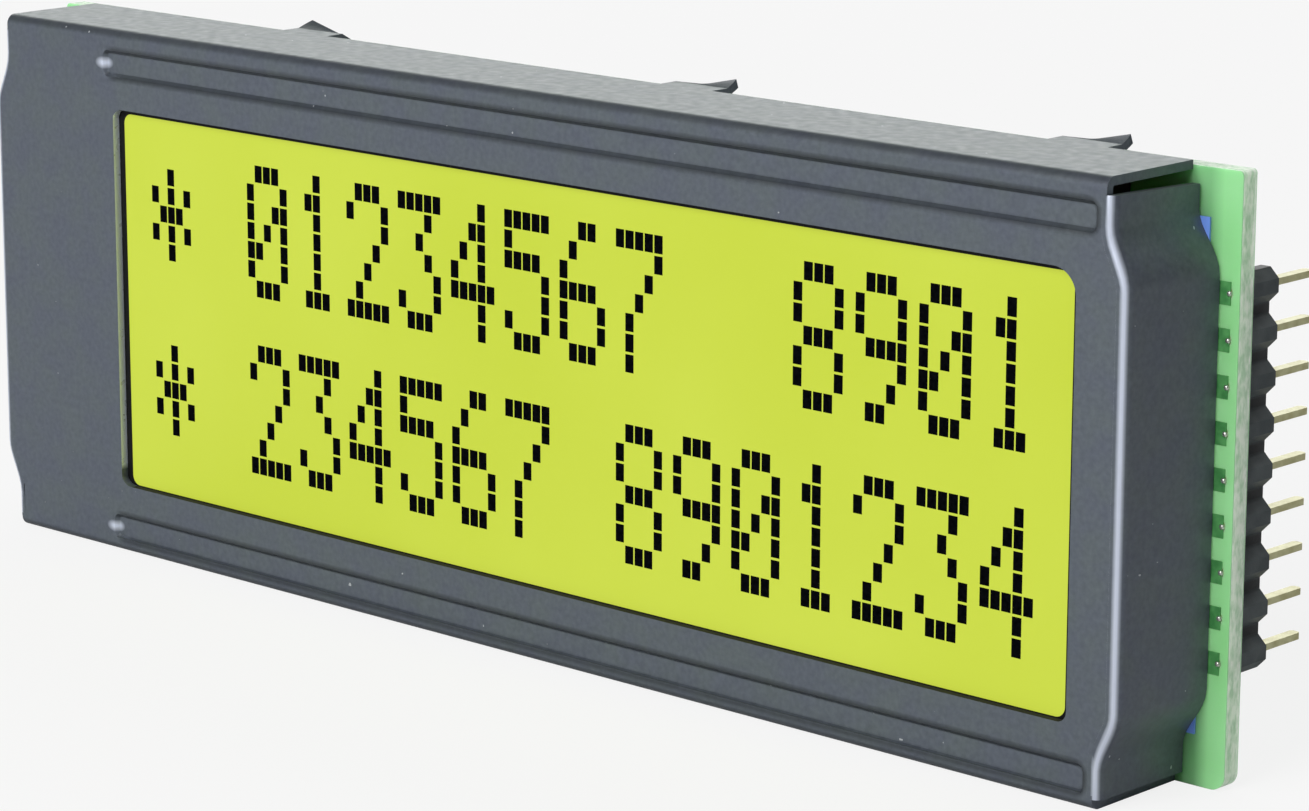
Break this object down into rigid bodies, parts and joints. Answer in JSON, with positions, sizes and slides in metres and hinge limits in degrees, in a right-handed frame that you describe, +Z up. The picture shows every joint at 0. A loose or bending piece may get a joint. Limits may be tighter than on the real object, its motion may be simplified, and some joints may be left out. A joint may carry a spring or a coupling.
{
  "type": "character lcd module",
  "caption": "Flat character display module: a glass display cell under a folded steel bezel on a green circuit board, with a backlight and pin headers at the short ends.",
  "frame": {"origin": "centre of the bounding box's footprint, at the height of the lower long edge on which the module stands", "axes": "+X along the display's lines of characters, +Y from the display's face towards the pins, +Z up across the lines"},
  "size_m": [0.0752, 0.012, 0.0275],
  "materials": {
    "bezel_steel": "satin dark blue-grey coating",
    "polarizer_film": "smooth yellow-green film",
    "display_glass": "polished",
    "seal_resin": "cured resin",
    "strip_rubber": "soft",
    "diffuser_plastic": "milky",
    "reflector_plastic": "white moulded",
    "led_substrate": "woven laminate",
    "led_chip": "clear yellow-green",
    "lead_metal": "tinned",
    "blue_film": "smooth blue film",
    "board_laminate": "green lacquer on glass laminate",
    "land_copper": "copper under green lacquer",
    "header_plastic": "moulded",
    "pin_metal": "thin pale gold plating",
    "cap_resin": "poured black resin",
    "resistor_body": "black glaze",
    "capacitor_ceramic": "plain"
  },
  "bodies": {
    "root": {"bezel": "bezel_steel", "front_polarizer": "polarizer_film", "front_glass": "display_glass", "cell_seal": "seal_resin", "fill_plug": "seal_resin", "rear_glass": "display_glass", "rear_polarizer": "polarizer_film", "upper_strip": "strip_rubber", "lower_strip": "strip_rubber", "diffuser_plate": "diffuser_plastic", "reflector": "reflector_plastic", "led_board": "led_substrate", "led_dies": "led_chip", "backlight_leads": "lead_metal", "insulating_film": "blue_film", "circuit_board": "board_laminate", "right_lands": "land_copper", "left_lands": "land_copper", "right_header": "header_plastic", "left_header": "header_plastic", "controller_cap": "cap_resin", "driver_cap": "cap_resin", "chip_resistors": "resistor_body", "chip_capacitors": "capacitor_ceramic", "pin_1": "pin_metal", "pin_2": "pin_metal", "pin_3": "pin_metal", "pin_4": "pin_metal", "pin_5": "pin_metal", "pin_6": "pin_metal", "pin_7": "pin_metal", "pin_8": "pin_metal", "pin_9": "pin_metal", "pin_10": "pin_metal", "pin_11": "pin_metal", "pin_12": "pin_metal", "pin_13": "pin_metal", "pin_14": "pin_metal", "pin_15": "pin_metal", "pin_16": "pin_metal", "pin_17": "pin_metal", "pin_18": "pin_metal"}
  },
  "joints": []
}
